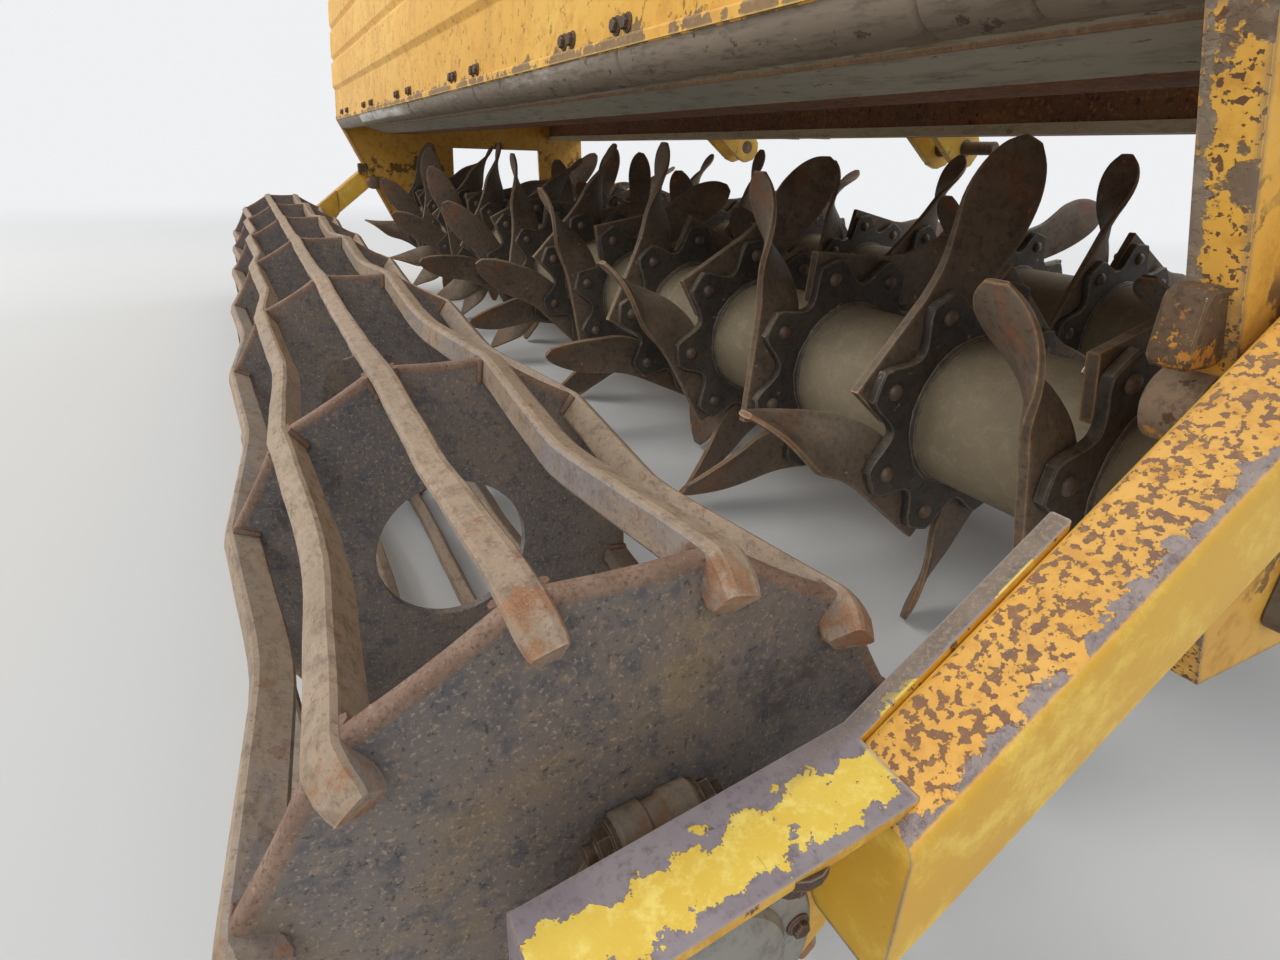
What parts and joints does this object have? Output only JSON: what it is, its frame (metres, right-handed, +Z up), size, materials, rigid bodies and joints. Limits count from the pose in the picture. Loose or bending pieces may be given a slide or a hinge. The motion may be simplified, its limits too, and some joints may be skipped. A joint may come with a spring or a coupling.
{
  "type": "twin-rotor tine cultivator with cage roller",
  "caption": "Tractor-mounted cultivator: two tined rotors linked by a chain under a hood, with a cage roller on hinged arms behind.",
  "frame": {"origin": "centre of the footprint, on the floor", "axes": "+Z up, +Y forward towards the tractor, +X the machine's right side"},
  "size_m": [3.2906, 1.6504, 1.28],
  "materials": {
    "yellow_paint": "chipped and rusted",
    "rusted_paint": "mostly rust",
    "worn_steel": "worn bare",
    "cast_housing": "rusty casting",
    "dusty_tube": "dust over worn steel",
    "dark_star": "dark, soil stained",
    "rusty_cage": "light rust"
  },
  "bodies": {
    "frame": {"front_beam": "rusted_paint", "rear_beam": "rusted_paint", "rear_panel": "yellow_paint", "top_panel": "yellow_paint", "rear_lip": "worn_steel", "under_strip": "rusted_paint", "right_end_plate": "yellow_paint", "left_end_plate": "yellow_paint", "right_rotor_bearings": "cast_housing", "left_rotor_bearings": "cast_housing", "chain_case": "yellow_paint", "chain_case_mounts": "yellow_paint", "mast_plates": "yellow_paint", "mast_braces": "yellow_paint", "lower_link_plates": "yellow_paint", "lower_link_pins": "worn_steel", "right_arm_pivot": "yellow_paint", "left_arm_pivot": "yellow_paint"},
    "roller_arms": {"right_roller_arm": "yellow_paint", "left_roller_arm": "yellow_paint", "right_roller_carrier": "yellow_paint", "left_roller_carrier": "yellow_paint", "right_roller_bearing": "cast_housing", "left_roller_bearing": "cast_housing"},
    "cage_roller": {"roller_cage": "rusty_cage", "roller_stub_shafts": "worn_steel"},
    "rear_rotor": {"rear_rotor_tube": "dusty_tube", "rear_rotor_stars": "dark_star", "rear_rotor_stub_shafts": "worn_steel"},
    "front_rotor": {"front_rotor_tube": "dusty_tube", "front_rotor_stars": "dark_star", "front_rotor_stub_shafts": "worn_steel"}
  },
  "joints": [
    {"name": "arms_hinge", "type": "hinge", "parent": "frame", "child": "roller_arms", "pos_m": [0, 0.0153, 0.686], "axis": [1, 0, 0], "range_deg": [-15, 8]},
    {"name": "roller_spin", "type": "hinge", "parent": "roller_arms", "child": "cage_roller", "pos_m": [0, -0.6337, 0.19146], "axis": [1, 0, 0], "continuous": true},
    {"name": "front_rotor_spin", "type": "hinge", "parent": "frame", "child": "front_rotor", "pos_m": [0, 0.5353, 0.2908], "axis": [1, 0, 0], "continuous": true},
    {"name": "rear_rotor_spin", "type": "hinge", "parent": "frame", "child": "rear_rotor", "pos_m": [0, -0.0647, 0.2908], "axis": [1, 0, 0], "continuous": true}
  ],
  "couplings": [
    {"joint": "rear_rotor_spin", "follows": "front_rotor_spin", "ratio": 3}
  ]
}
